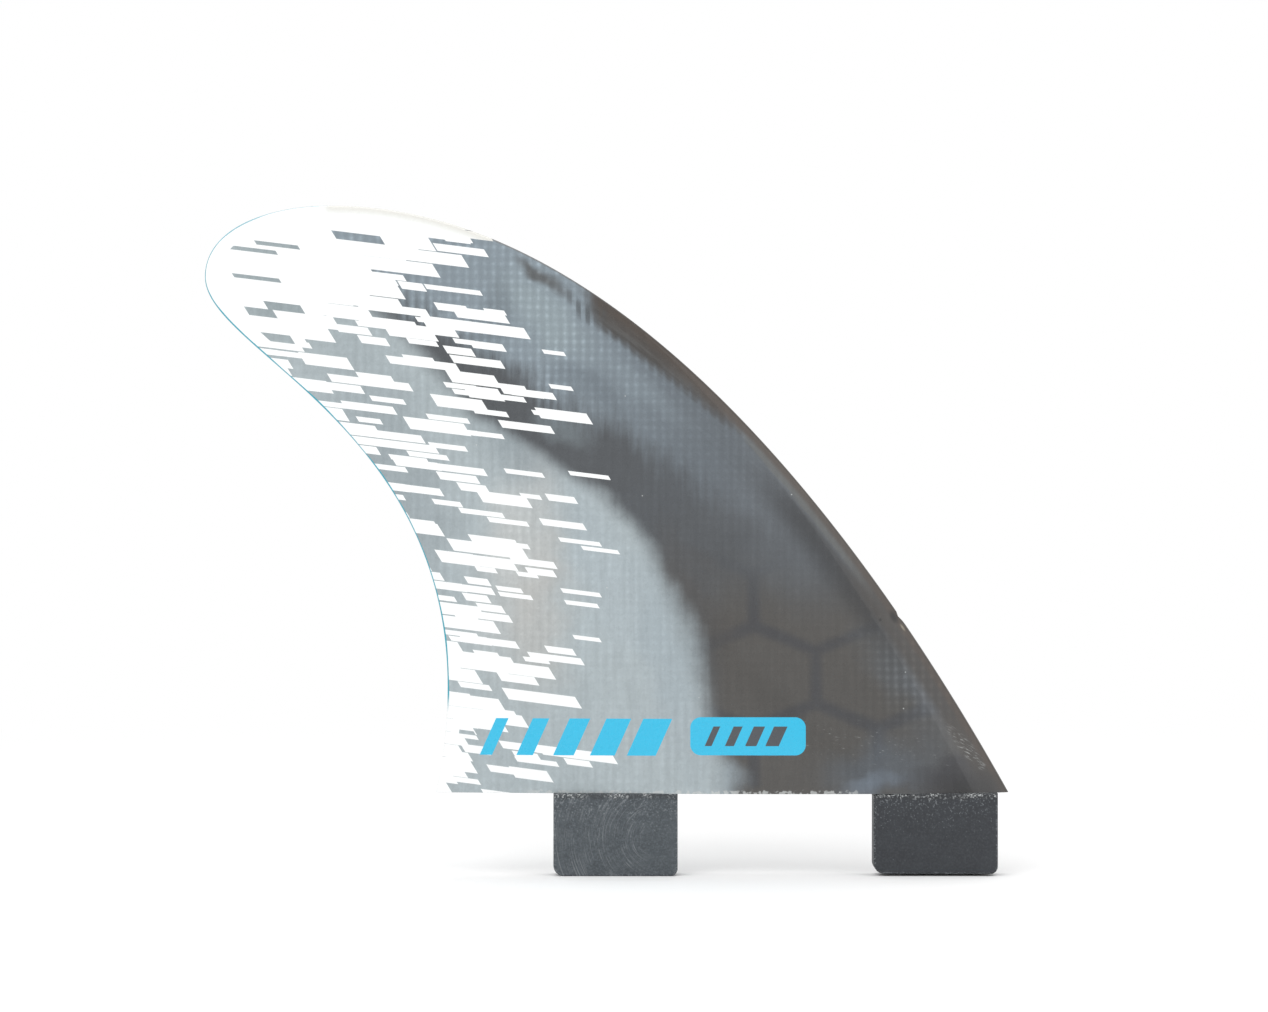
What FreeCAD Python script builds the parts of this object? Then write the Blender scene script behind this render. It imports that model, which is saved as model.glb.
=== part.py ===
import FreeCAD, Part
import math
import os
import Sketcher

# Surfboard fin with two base tabs. Millimetres, +X toward the leading edge, +Z up the blade,
# the curved outer face toward -Y. The origin lies on the base line, midway between the tabs
# and at the middle of their thickness.

sizes = {
    # the tabs that drop into the board's two plugs
    "TabSpacing": 57.2,  # centre to centre
    "TabLength": 22.2,
    "TabThickness": 5.6,
    "FrontTabDepth": 14.3,
    "RearTabDepth": 14.7,
    "TabHeelRadius": 1.9,  # lower corner on the trailing side
    "TabToeRadius": 1.3,  # lower corner on the leading side
    "TabSideBevel": 0.4,  # bevel round both cheeks
    # the blade's outline, three cubic curves that run on smoothly at the top and the back
    "BladeDepth": 105.3,  # base line to the top
    "BaseLength": 102.9,
    "LeadingOverhang": 2.3,  # leading corner ahead of the front tab
    "LeadingRake": 29.2,  # degrees back from upright at the base
    "LeadingHandle": 51.0,
    "TopSweep": 121.4,  # top of the outline behind the leading corner
    "TopHandle": 52.5,
    "TipHandle": 12.7,
    "TipOverhang": 41.4,  # rearmost point behind the trailing corner
    "TipBackHeight": 92.5,
    "TipBackHandle": 8.3,
    "HookHandle": 14.7,
    "TrailingRake": 12.0,  # degrees forward from upright at the base
    "TrailingHandle": 64.4,
    # the foil
    "RootThickness": 6.4,
    "TipThickness": 1.8,
    "OuterShare": 0.75,  # of the thickness that bulges on the outer face
    "NoseThickness": 0.7,
    "TailThickness": 0.85,
    "FaceFront": 0.05,  # of the chord, pulls the thickest place toward the nose
    "FaceBack": 0.55,
    "EdgeBevel": 0.35,  # eases the outline's edges on both faces
    # the core mat under the clear skin
    "CoreThickness": 2.0,
    "CoreWeb": 0.8,  # what joins the cells along the channels
    "CoreOffset": 0.3,  # toward the flat face
    "CoreBase": 3.0,  # above the base line
    "CoreTop": 55.0,
    "CoreInset": 10.0,  # behind the leading edge
    "CoreRearBase": 54.5,  # its lower rear corner behind the leading corner
    "CoreRearTop": 78.0,  # its upper rear corner behind the leading corner
    "CoreRearHandle": 26.0,
    "CoreTopHandle": 14.0,
    "CoreTopDrop": 9.0,
    "CellWidth": 22.2,
    "CellWall": 9.5,
    "RowPitch": 13.9,
    "ChannelWidth": 1.2,
    "CellSetback": 45.9,  # centre of the first cell behind the leading corner
    "CellHeight": 20.8,  # and above the base line
}
cell_columns = 4
cell_rows = 3  # each a pair, the second half a cell along

# worked out from the sizes above
derived = {
    "LeadX": "=(TabSpacing + TabLength) / 2 + LeadingOverhang",
    "TrailX": "=LeadX - BaseLength",
    "TopX": "=LeadX - TopSweep",
    "TipX": "=TrailX - TipOverhang",
    "LeadHandleX": "=LeadX - LeadingHandle * sin(LeadingRake)",
    "LeadHandleZ": "=LeadingHandle * cos(LeadingRake)",
    "TopHandleX": "=TopX + TopHandle",
    "TipHandleX": "=TopX - TipHandle",
    "TipBackHandleZ": "=TipBackHeight + TipBackHandle",
    "HookHandleZ": "=TipBackHeight - HookHandle",
    "TrailHandleX": "=TrailX + TrailingHandle * sin(TrailingRake)",
    "TrailHandleZ": "=TrailingHandle * cos(TrailingRake)",
    "TrimWidth": "=4 * RootThickness",
    "ChannelHalf": "=ChannelWidth / 2",
    "CellSlope": "=2 * (RowPitch - CellWall) / CellWidth",
    "CellPeak": "=RowPitch - CellWall / 2 - ChannelHalf * sqrt(1 + CellSlope ^ 2)",
    "CellHalf": "=CellWidth / 2 - ChannelHalf",
    "CellShoulder": "=CellPeak - CellSlope * CellHalf",
    "CellX": "=LeadX - CellSetback",
}

station_shares = (0.0, 0.18, 0.36, 0.54, 0.7, 0.82, 0.91)  # of the blade's depth
nose_margin = 0.4  # the foil blank stands this far ahead of the outline before it is trimmed
tail_margin = 1.0  # this far behind it
top_margin = 1.5  # and this far above it
top_nose_share = 0.33  # of the top handle, where the blank's nose ends over the rounded top
bulge_share = 0.75  # a cubic bulges by this share of its two handles' distance
trim_margin = 12.0  # how far the trimming cut reaches past the blade
touching = 0.01  # a point this near to a line lies on it

doc = FreeCAD.newDocument("SurfboardFin")
sheet = doc.addObject("Spreadsheet::Sheet", "Sizes")


def put(name, value):
    row = len(cells) + 1
    cells.append(name)
    sheet.set(f"A{row}", name)
    sheet.set(f"B{row}", str(value))
    sheet.setAlias(f"B{row}", name)


cells = []
for name, value in {**sizes, **derived}.items():
    put(name, value)
doc.recompute()


def size(name):
    value = sheet.get(name)
    return float(getattr(value, "Value", value))


def origin_plane(body, role):
    return next(item for item in body.Origin.OriginFeatures if item.Role == role)


def new_sketch(body, name, role, height=None):
    """a sketch on an origin plane, raised to the height that a cell gives"""
    sketch = body.newObject("Sketcher::SketchObject", name)
    sketch.AttachmentSupport = (origin_plane(body, role), "")
    sketch.MapMode = "FlatFace"
    if height:
        sketch.setExpression("AttachmentOffset.Base.z", f"Sizes.{height}")
    return sketch


def pin(sketch, geometry, point, right, up):
    """fixes a point of the sketch at two expressions"""
    place = sketch.getPoint(geometry, point)
    for kind, value, rule in (("DistanceX", place.x, right), ("DistanceY", place.y, up)):
        index = sketch.addConstraint(Sketcher.Constraint(kind, -1, 1, geometry, point, value))
        sketch.setExpression(f"Constraints[{index}]", rule)


def worked_out(rule):
    """the value of an expression of the sheet's cells, for a sketch's first draft"""
    return float(sheet.evalExpression(rule.replace("Sizes.", "")))


def corner(rules):
    return FreeCAD.Vector(worked_out(rules[0]), worked_out(rules[1]), 0)


def draw_loop(sketch, sides):
    """a closed loop; each side lists its points, two for a line and four for a cubic curve"""
    made = []
    for side in sides:
        points = [corner(rules) for rules in side]
        if len(points) == 2:
            made.append(sketch.addGeometry(Part.LineSegment(*points)))
            pin(sketch, made[-1], 1, *side[0])
            continue
        curve = Part.BSplineCurve()
        curve.buildFromPolesMultsKnots(points, [4, 4], [0, 1], False, 3)
        index = sketch.addGeometry(curve)
        made.append(index)
        sketch.exposeInternalGeometry(index)
        for step in range(3):
            pin(sketch, index + 1 + step, 3, *side[step])
    for index, following in zip(made, made[1:] + made[:1]):
        sketch.addConstraint(Sketcher.Constraint("Coincident", index, 2, following, 1))
    return made


def pad(body, sketch, name, length):
    feature = body.newObject("PartDesign::Pad", name)
    feature.Profile = sketch
    feature.Midplane = True
    feature.setExpression("Length", f"Sizes.{length}")
    return feature


def named_edges(shape, wanted):
    return [f"Edge{number}" for number, edge in enumerate(shape.Edges, 1) if wanted(edge)]


def middle_of(edge):
    return edge.valueAt((edge.FirstParameter + edge.LastParameter) / 2)


def dress(body, kind, name, length, wanted):
    """a Fillet or a Chamfer on the edges of the body's last feature that fit the description"""
    doc.recompute()
    base = body.Tip
    feature = body.newObject(f"PartDesign::{kind}", name)
    feature.Base = (base, named_edges(base.Shape, wanted))
    feature.setExpression("Radius" if kind == "Fillet" else "Size", f"Sizes.{length}")
    return feature


# The outline's three curves, each as four places: the ends and the two handles between them.
leading_edge = (
    ("Sizes.LeadX", "0"),
    ("Sizes.LeadHandleX", "Sizes.LeadHandleZ"),
    ("Sizes.TopHandleX", "Sizes.BladeDepth"),
    ("Sizes.TopX", "Sizes.BladeDepth"),
)
tip = (
    ("Sizes.TopX", "Sizes.BladeDepth"),
    ("Sizes.TipHandleX", "Sizes.BladeDepth"),
    ("Sizes.TipX", "Sizes.TipBackHandleZ"),
    ("Sizes.TipX", "Sizes.TipBackHeight"),
)
trailing_edge = (
    ("Sizes.TipX", "Sizes.TipBackHeight"),
    ("Sizes.TipX", "Sizes.HookHandleZ"),
    ("Sizes.TrailHandleX", "Sizes.TrailHandleZ"),
    ("Sizes.TrailX", "0"),
)


def curve_of(rules):
    curve = Part.BezierCurve()
    curve.setPoles([corner(pair) for pair in rules])
    return curve


def x_at(curve, height):
    """where a curve that only climbs or only falls passes a height"""
    low, high = 0.0, 1.0
    climbs = curve.value(1).y > curve.value(0).y
    for _ in range(50):
        half = (low + high) / 2
        if (curve.value(half).y < height) == climbs:
            low = half
        else:
            high = half
    return curve.value(low).x


# Stations of the foil, from the base line to just past the top. The last one only carries the
# blank over the rounded top, where the outline trims it.
depth = size("BladeDepth")
stations = []
for share in station_shares:
    height = share * depth
    back = tip if height > size("TipBackHeight") else trailing_edge
    nose = x_at(curve_of(leading_edge), height) + nose_margin
    tail = x_at(curve_of(back), height) - tail_margin
    stations.append((height, nose, tail))
top_nose = size("TopX") + top_nose_share * size("TopHandle")
stations.append((depth + top_margin, top_nose, size("TipX") - tail_margin))

for number, (height, nose, tail) in enumerate(stations):
    share = min(height / depth, 1)
    put(f"Height{number}", height)
    put(f"Nose{number}", nose)
    put(f"Chord{number}", nose - tail)
    put(f"Thick{number}", f"=RootThickness - (RootThickness - TipThickness) * {share}")
    put(f"Line{number}", f"=(OuterShare - 0.5) * Thick{number}")
doc.recompute()


def foil_section(body, number):
    """one cubic for each face, full behind the nose and easing to the tail, with a blunt edge
    at both ends"""
    sketch = new_sketch(body, f"Foil{number}", "XY_Plane", f"Height{number}")
    nose = f"Sizes.Nose{number}"
    chord = f"Sizes.Chord{number}"
    line = f"Sizes.Line{number}"
    outer = f"{line} - Sizes.OuterShare * Sizes.Thick{number} / {bulge_share}"
    inner = f"{line} + (1 - Sizes.OuterShare) * Sizes.Thick{number} / {bulge_share}"
    front = f"{nose} - Sizes.FaceFront * {chord}"
    back = f"{nose} - Sizes.FaceBack * {chord}"
    tail = f"{nose} - {chord}"
    nose_out = (nose, f"{line} - Sizes.NoseThickness / 2")
    nose_in = (nose, f"{line} + Sizes.NoseThickness / 2")
    tail_out = (tail, f"{line} - Sizes.TailThickness / 2")
    tail_in = (tail, f"{line} + Sizes.TailThickness / 2")
    draw_loop(
        sketch,
        [
            (nose_out, (front, outer), (back, outer), tail_out),
            (tail_out, tail_in),
            (tail_in, (back, inner), (front, inner), nose_in),
            (nose_in, nose_out),
        ],
    )
    return sketch


def tab_sketch(body, name, side, depth_cell):
    """an upright rectangle under the base line; side is 1 for the front tab, -1 for the rear"""
    middle = f"{side} * Sizes.TabSpacing / 2"
    back = f"{middle} - Sizes.TabLength / 2"
    front = f"{middle} + Sizes.TabLength / 2"
    foot = f"-Sizes.{depth_cell}"
    sketch = new_sketch(body, name, "XZ_Plane")
    corners = [(back, "0"), (front, "0"), (front, foot), (back, foot)]
    draw_loop(sketch, list(zip(corners, corners[1:] + corners[:1])))
    return sketch


def below_base(edge):
    return middle_of(edge).z < -1e-3


def runs_along(edge, axis):
    box = edge.BoundBox
    spans = (box.XLength, box.YLength, box.ZLength)
    return all(span < 1e-6 for number, span in enumerate(spans) if number != axis)


def lower_corner(edge, heel):
    """a lower edge of a tab that runs through its thickness, on the wanted side of the tab"""
    if not (below_base(edge) and runs_along(edge, 1)):
        return False
    place = middle_of(edge).x
    tab_middle = math.copysign(size("TabSpacing") / 2, place)
    return (place < tab_middle) == heel


# The blade: the two tabs, then a foiled blank over them, trimmed to the outline.
blade = doc.addObject("PartDesign::Body", "Blade")
blade.AllowCompound = True
pad(blade, tab_sketch(blade, "FrontTab", 1, "FrontTabDepth"), "FrontTabPad", "TabThickness")
pad(blade, tab_sketch(blade, "RearTab", -1, "RearTabDepth"), "RearTabPad", "TabThickness")
dress(blade, "Fillet", "TabHeels", "TabHeelRadius", lambda edge: lower_corner(edge, True))
dress(blade, "Fillet", "TabToes", "TabToeRadius", lambda edge: lower_corner(edge, False))
dress(
    blade,
    "Chamfer",
    "TabSides",
    "TabSideBevel",
    lambda edge: below_base(edge) and runs_along(edge, 2),
)

sections = [foil_section(blade, number) for number in range(len(stations))]
doc.recompute()
blank = blade.newObject("PartDesign::AdditiveLoft", "FoilBlank")
blank.Profile = sections[0]
blank.Sections = sections[1:]
doc.recompute()

waste = new_sketch(blade, "OutsideOutline", "XZ_Plane")
far_front = f"Sizes.LeadX + {trim_margin}"
far_back = f"Sizes.TipX - {trim_margin}"
far_top = f"Sizes.BladeDepth + {trim_margin}"
draw_loop(
    waste,
    [
        leading_edge,
        tip,
        trailing_edge,
        (("Sizes.TrailX", "0"), (far_back, "0")),
        ((far_back, "0"), (far_back, far_top)),
        ((far_back, far_top), (far_front, far_top)),
        ((far_front, far_top), (far_front, "0")),
        ((far_front, "0"), ("Sizes.LeadX", "0")),
    ],
)
doc.recompute()
trim = blade.newObject("PartDesign::Pocket", "TrimToOutline")
trim.Profile = waste
trim.Midplane = True
trim.setExpression("Length", "Sizes.TrimWidth")

outline_wire = Part.Wire(
    [curve_of(rules).toShape() for rules in (leading_edge, tip, trailing_edge)]
)


def on_outline(edge):
    """an edge that follows the outline, on either face of the blade"""
    if runs_along(edge, 1):
        return False
    for share in (0.1, 0.5, 0.9):
        place = edge.valueAt(
            edge.FirstParameter + share * (edge.LastParameter - edge.FirstParameter)
        )
        probe = Part.Vertex(place.x, place.z, 0)
        if probe.distToShape(outline_wire)[0] > touching:
            return False
    return True


dress(blade, "Chamfer", "EdgeBevel", "EdgeBevel", on_outline)

# The core: hexagonal cells standing on both faces of a thin web, cut to shape as a sheet.
mat = doc.addObject("PartDesign::Body", "CoreMat")
hexagons = new_sketch(mat, "Cells", "XZ_Plane")


def draw_cell(sketch, middle_x, middle_z):
    """a hexagon with upright side walls, smaller than its pitch by the channel"""
    shape = ((0, 1), (1, 0.5), (1, -0.5), (0, -1), (-1, -0.5), (-1, 0.5))
    rises = {1: "Sizes.CellPeak", 0.5: "Sizes.CellShoulder"}
    corners = []
    for step, rise in shape:
        sign = "+" if rise > 0 else "-"
        right = f"{middle_x} + {step} * Sizes.CellHalf"
        corners.append((right, f"{middle_z} {sign} {rises[abs(rise)]}"))
    draw_loop(sketch, list(zip(corners, corners[1:] + corners[:1])))


first_x = "Sizes.CellX - 2 * Sizes.CellWidth"
first_z = "Sizes.CellHeight - 2 * Sizes.RowPitch"
draw_cell(hexagons, first_x, first_z)
draw_cell(hexagons, f"{first_x} + Sizes.CellWidth / 2", f"{first_z} + Sizes.RowPitch")

web = new_sketch(mat, "Web", "XZ_Plane")
left = f"{first_x} - Sizes.CellWidth"
right = f"{first_x} + {cell_columns} * Sizes.CellWidth"
low = f"{first_z} - 2 * Sizes.RowPitch"
high = f"{first_z} + {2 * cell_rows + 1} * Sizes.RowPitch"
corners = [(left, low), (right, low), (right, high), (left, high)]
draw_loop(web, list(zip(corners, corners[1:] + corners[:1])))
pad(mat, web, "WebPad", "CoreWeb")
cell_pad = pad(mat, hexagons, "CellPad", "CoreThickness")
doc.recompute()
grid = mat.newObject("PartDesign::LinearPattern", "CellGrid")
grid.Originals = [cell_pad]
grid.Direction = (hexagons, ["H_Axis"])
grid.Mode = "Spacing"
grid.setExpression("Offset", "Sizes.CellWidth")
grid.Occurrences = cell_columns
grid.Direction2 = (hexagons, ["V_Axis"])
grid.Mode2 = "Spacing"
grid.setExpression("Offset2", "2 * Sizes.RowPitch")
grid.Occurrences2 = cell_rows
mat.Tip = grid
doc.recompute()


def part_of(curve, low, high):
    """the places that draw the stretch of a cubic between two heights"""
    ends = [curve.parameter(FreeCAD.Vector(x_at(curve, height), height, 0)) for height in (low, high)]
    piece = curve.copy()
    piece.segment(*ends)
    return piece.getPoles()


mat_edge = []
lead_stretch = part_of(curve_of(leading_edge), size("CoreBase"), size("CoreTop"))
for number, place in enumerate(lead_stretch):
    put(f"MatX{number}", place.x)
    put(f"MatZ{number}", place.y)
    mat_edge.append((f"Sizes.MatX{number} - Sizes.CoreInset", f"Sizes.MatZ{number}"))
doc.recompute()

rear_low = "Sizes.LeadX - Sizes.CoreRearBase"
rear_high = "Sizes.LeadX - Sizes.CoreRearTop"
rear_edge = (
    (rear_high, "Sizes.CoreTop"),
    (f"{rear_high} + Sizes.CoreTopHandle", "Sizes.CoreTop - Sizes.CoreTopDrop"),
    (rear_low, "Sizes.CoreBase + Sizes.CoreRearHandle"),
    (rear_low, "Sizes.CoreBase"),
)
cutter = doc.addObject("PartDesign::Body", "CoreOutline")
mat_outline = new_sketch(cutter, "MatOutline", "XZ_Plane")
draw_loop(
    mat_outline,
    [
        mat_edge,
        (mat_edge[3], rear_edge[0]),
        rear_edge,
        (rear_edge[3], mat_edge[0]),
    ],
)
pad(cutter, mat_outline, "OutlinePad", "TabThickness")
mat.setExpression("Placement.Base.y", "Sizes.CoreOffset")
core = doc.addObject("Part::Common", "HexCore")
core.Base = mat
core.Tool = cutter
core.Label = "hex_core"

# The moulding closes round the core on every side.
moulding = doc.addObject("Part::Cut", "FinMoulding")
moulding.Base = blade
moulding.Tool = core
moulding.Label = "fin_moulding"
doc.recompute()

faults = [item.Name for item in doc.Objects if {"Invalid", "Error"} & set(item.State)]
if faults:
    raise RuntimeError(f"features that failed: {faults}")
os.makedirs("parts", exist_ok=True)
for part in (moulding, core):
    shape = part.Shape
    if shape.isNull() or not shape.isValid() or len(shape.Solids) != 1:
        raise RuntimeError(f"{part.Label} isn't one valid solid")
    shape.exportStep(f"parts/{part.Label}.step")
    print(f"{part.Label}: {shape.Volume:.1f} cubic mm, {len(shape.Faces)} faces")
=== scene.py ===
import math
from functools import partial

import bpy
import numpy as np
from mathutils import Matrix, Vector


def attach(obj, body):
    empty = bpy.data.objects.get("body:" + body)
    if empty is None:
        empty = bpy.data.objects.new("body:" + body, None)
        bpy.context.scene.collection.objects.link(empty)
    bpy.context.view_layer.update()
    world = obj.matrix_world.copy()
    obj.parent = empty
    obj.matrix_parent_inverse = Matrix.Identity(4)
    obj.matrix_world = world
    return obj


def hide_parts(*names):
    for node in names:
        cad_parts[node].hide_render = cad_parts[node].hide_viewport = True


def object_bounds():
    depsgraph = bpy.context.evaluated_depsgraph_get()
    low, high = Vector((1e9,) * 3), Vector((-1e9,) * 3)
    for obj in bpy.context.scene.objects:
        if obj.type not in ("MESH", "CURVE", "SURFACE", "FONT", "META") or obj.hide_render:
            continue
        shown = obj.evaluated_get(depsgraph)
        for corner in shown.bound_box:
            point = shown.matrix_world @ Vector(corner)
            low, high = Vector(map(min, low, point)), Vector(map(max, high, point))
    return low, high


# Surfboard side fin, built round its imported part. Shapes are worked out in millimetres in the
# part's own frame: +X toward the leading edge, +Z up the blade, the curved face toward -Y.

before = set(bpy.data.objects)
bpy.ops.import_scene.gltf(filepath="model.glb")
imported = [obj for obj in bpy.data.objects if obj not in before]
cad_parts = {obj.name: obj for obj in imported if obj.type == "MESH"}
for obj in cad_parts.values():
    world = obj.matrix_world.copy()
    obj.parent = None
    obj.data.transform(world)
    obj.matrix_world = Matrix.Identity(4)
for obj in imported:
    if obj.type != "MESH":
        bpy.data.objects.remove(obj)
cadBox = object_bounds()
mm = 0.001  # one millimetre in Blender's units
inMillimetres = 1 / mm


def toLinear(hexColour):
    parts = [int(hexColour[i:i + 2], 16) / 255 for i in (1, 3, 5)]
    return [p / 12.92 if p <= 0.04045 else ((p + 0.055) / 1.055) ** 2.4 for p in parts] + [1]


def addNode(tree, kind, settings, links):
    # settings by name; links give each socket, by name or in order, its value or what feeds it
    node = tree.nodes.new("ShaderNode" + kind)
    for name, value in settings.items():
        setattr(node, name, value)
    for socket, value in (links.items() if isinstance(links, dict) else enumerate(links)):
        if isinstance(value, bpy.types.NodeSocket):
            tree.links.new(value, node.inputs[socket])
        else:
            node.inputs[socket].default_value = value
    return node.outputs


def newMaterial(name):
    material = bpy.data.materials.new(name)
    material.use_nodes = True
    material.node_tree.nodes.clear()
    return material, partial(addNode, material.node_tree)


def makeMesh(name, points, faces, fields, creaseAngle=40):
    # points in millimetres; fields are numbers kept at each vertex for the materials to read
    mesh = bpy.data.meshes.new(name)
    mesh.from_pydata((points * mm).tolist(), [], faces)
    mesh.validate()
    for field, values in fields.items():
        attribute = mesh.attributes.new(field, "FLOAT", "POINT")
        attribute.data.foreach_set("value", values.astype(np.float32))
    mesh.polygons.foreach_set("use_smooth", [True] * len(mesh.polygons))
    mesh.set_sharp_from_angle(angle=math.radians(creaseAngle))
    piece = bpy.data.objects.new(name, mesh)
    bpy.context.scene.collection.objects.link(piece)
    return piece


# The blade, in millimetres.
bladeShape = {
    "depth": 105.3,
    "leadX": 42.0,
    "trailX": -60.9,
    "topX": -79.4,
    "tipX": -102.3,
    "tipBackHeight": 92.5,
    "leadHandle": 51.0,
    "leadRake": 29.2,  # degrees from upright
    "topHandle": 52.5,
    "tipHandle": 12.7,
    "tipBackHandle": 8.3,
    "hookHandle": 14.7,
    "trailHandle": 64.4,
    "trailRake": 12.0,
    "rootThickness": 6.4,
    "tipThickness": 1.8,
    "outerShare": 0.75,  # of the bulge that is on the curved face
    "noseThickness": 0.7,
    "tailThickness": 0.85,
    "edgeRound": 0.42,  # radius that closes the outline's edge
    "leadThinning": 0.4,  # share of the thickness sanded away at the leading edge
    "leadThinningWidth": 2.6,
    "nickHeight": 31.5,
    "nickDepth": 0.35,
    "nickWidth": 0.55,
    "faceFront": 0.05,  # handles of each face's cubic, in shares of the chord
    "faceBack": 0.55,
    "noseMargin": 0.4,  # the foil runs past the outline by these
    "tailMargin": 1.0,
    "topMargin": 1.5,
    "shoulder": 0.91,  # above this share of the depth the foil's two ends run straight
    "topNose": 17.5,  # and its nose ends this far ahead of the top point
    "rows": 180,
    "columns": 200,
    "crowding": 1.6,  # above 1 the rows lie closer together toward the top
}


def cubic(points, count=2000):
    t = np.linspace(0, 1, count)[:, None]
    a, b, c, d = (np.array(p, float) for p in points)
    return (1 - t) ** 3 * a + 3 * t * (1 - t) ** 2 * b + 3 * t * t * (1 - t) * c + t ** 3 * d


def outlineCurves(s):
    # leading edge and rear edge, each from the base line up to the top of the outline
    lean, back = math.radians(s["leadRake"]), math.radians(s["trailRake"])
    top, tipBack = (s["topX"], s["depth"]), (s["tipX"], s["tipBackHeight"])
    lead = cubic([
        (s["leadX"], 0),
        (s["leadX"] - s["leadHandle"] * math.sin(lean), s["leadHandle"] * math.cos(lean)),
        (s["topX"] + s["topHandle"], s["depth"]),
        top,
    ])
    tip = cubic([
        top,
        (s["topX"] - s["tipHandle"], s["depth"]),
        (s["tipX"], s["tipBackHeight"] + s["tipBackHandle"]),
        tipBack,
    ])
    hook = cubic([
        tipBack,
        (s["tipX"], s["tipBackHeight"] - s["hookHandle"]),
        (s["trailX"] + s["trailHandle"] * math.sin(back), s["trailHandle"] * math.cos(back)),
        (s["trailX"], 0),
    ])
    return lead, np.vstack([tip, hook[1:]])[::-1]


def gapToLines(starts, ends, x, z):
    # distance from each point to the nearest of some straight lines
    starts, run = starts.astype(np.float32), (ends - starts).astype(np.float32)
    dx = x.astype(np.float32)[..., None] - starts[:, 0]
    dz = z.astype(np.float32)[..., None] - starts[:, 1]
    share = np.clip((dx * run[:, 0] + dz * run[:, 1]) / (run ** 2).sum(1), 0, 1)
    return np.hypot(dx - share * run[:, 0], dz - share * run[:, 1]).min(-1)


def gapTo(curve, x, z, pieces=260):
    stops = curve[np.linspace(0, len(curve) - 1, pieces + 1).astype(int)]
    return gapToLines(stops[:-1], stops[1:], x, z)


def bladeSurface(s):
    # Two sheets over one plan grid: rows climb the blade, columns run from leading to rear edge.
    # Each face is a cubic across the chord, and a quarter circle closes it at the outline.
    lead, rear = outlineCurves(s)
    climb = 1 - (1 - np.linspace(0, 1, s["rows"] + 1)[:-1]) ** s["crowding"]
    height = s["depth"] * climb
    nose = np.interp(height, lead[:, 1], lead[:, 0])
    tail = np.interp(height, rear[:, 1], rear[:, 0])
    nose = nose - s["nickDepth"] * np.exp(-((height - s["nickHeight"]) / s["nickWidth"]) ** 2)
    across = (1 - np.cos(np.linspace(0, math.pi, s["columns"] + 1))) / 2
    x = nose[:, None] + (tail - nose)[:, None] * across
    z = np.repeat(height[:, None], s["columns"] + 1, 1)
    leadGap, rearGap = gapTo(lead, x, z), gapTo(rear, x, z)
    edgeGap = np.minimum(leadGap, rearGap)
    edgeGap[:, [0, -1]] = 0

    # the foil's chord runs past the outline, and stays long over the rounded top
    shoulder = s["shoulder"] * s["depth"]
    over = np.clip((height - shoulder) / (s["depth"] + s["topMargin"] - shoulder), 0, 1)
    noseAt, tailAt = (np.interp(shoulder, c[:, 1], c[:, 0]) for c in (lead, rear))
    foilNose = np.where(over > 0, noseAt + over * (s["topX"] + s["topNose"] - noseAt), nose)
    foilTail = np.where(over > 0, tailAt + over * (s["tipX"] - tailAt), tail)
    foilNose, foilTail = foilNose + s["noseMargin"], foilTail - s["tailMargin"]
    t = np.linspace(0, 1, 2 * s["columns"])
    along = 3 * s["faceFront"] * t * (1 - t) ** 2 + 3 * s["faceBack"] * t * t * (1 - t) + t ** 3
    share = (foilNose[:, None] - x) / (foilNose - foilTail)[:, None]
    t = np.interp(share, along, t)
    thick = s["rootThickness"] - (s["rootThickness"] - s["tipThickness"]) * z / s["depth"]
    middle = (s["outerShare"] - 0.5) * thick
    blunt = (s["noseThickness"] * (1 - t) ** 3 + s["tailThickness"] * t ** 3) / 2
    bulge = thick * 4 * t * (1 - t)
    reach = np.clip(edgeGap / s["edgeRound"], 0, 1)
    close = np.sqrt(1 - (1 - reach) ** 2)
    thin = 1 - s["leadThinning"] * np.exp(-leadGap / s["leadThinningWidth"])
    outer = middle - (blunt + s["outerShare"] * bulge) * close * thin
    inner = middle + (blunt + (1 - s["outerShare"]) * bulge) * close * thin

    # vertices: the curved sheet, the flat sheet without its two edge columns, and the top point
    rows, columns = x.shape
    points = [np.stack([x, outer, z], -1).reshape(-1, 3)]
    points.append(np.stack([x, inner, z], -1)[:, 1:-1].reshape(-1, 3))
    top = np.array([[s["topX"], middle[-1, 0], s["depth"]]])
    front = np.arange(rows * columns).reshape(rows, columns)
    back = front.copy()
    back[:, 1:-1] = rows * columns + np.arange(rows * (columns - 2)).reshape(rows, -1)
    pole = rows * columns + rows * (columns - 2)
    faces = []
    for grid, flip in ((front, False), (back, True)):
        quads = np.stack([grid[:-1, :-1], grid[1:, :-1], grid[1:, 1:], grid[:-1, 1:]], -1).reshape(-1, 4)
        cap = np.stack([grid[-1, :-1], np.full(columns - 1, pole), grid[-1, 1:]], -1)
        for block in (quads, cap):
            faces += (block[:, ::-1] if flip else block).tolist()
    sole = np.stack([front[0, 1:-2], front[0, 2:-1], back[0, 2:-1], back[0, 1:-2]], -1)
    faces += sole.tolist()
    faces += [[front[0, 0], front[0, 1], back[0, 1]], [front[0, -2], front[0, -1], back[0, -2]]]
    fields = {}
    for name, grid in (("leadGap", leadGap), ("rearGap", rearGap)):
        fields[name] = np.concatenate([grid.ravel(), grid[:, 1:-1].ravel(), [0]])
    return np.vstack(points + [top]), faces, fields


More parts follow.
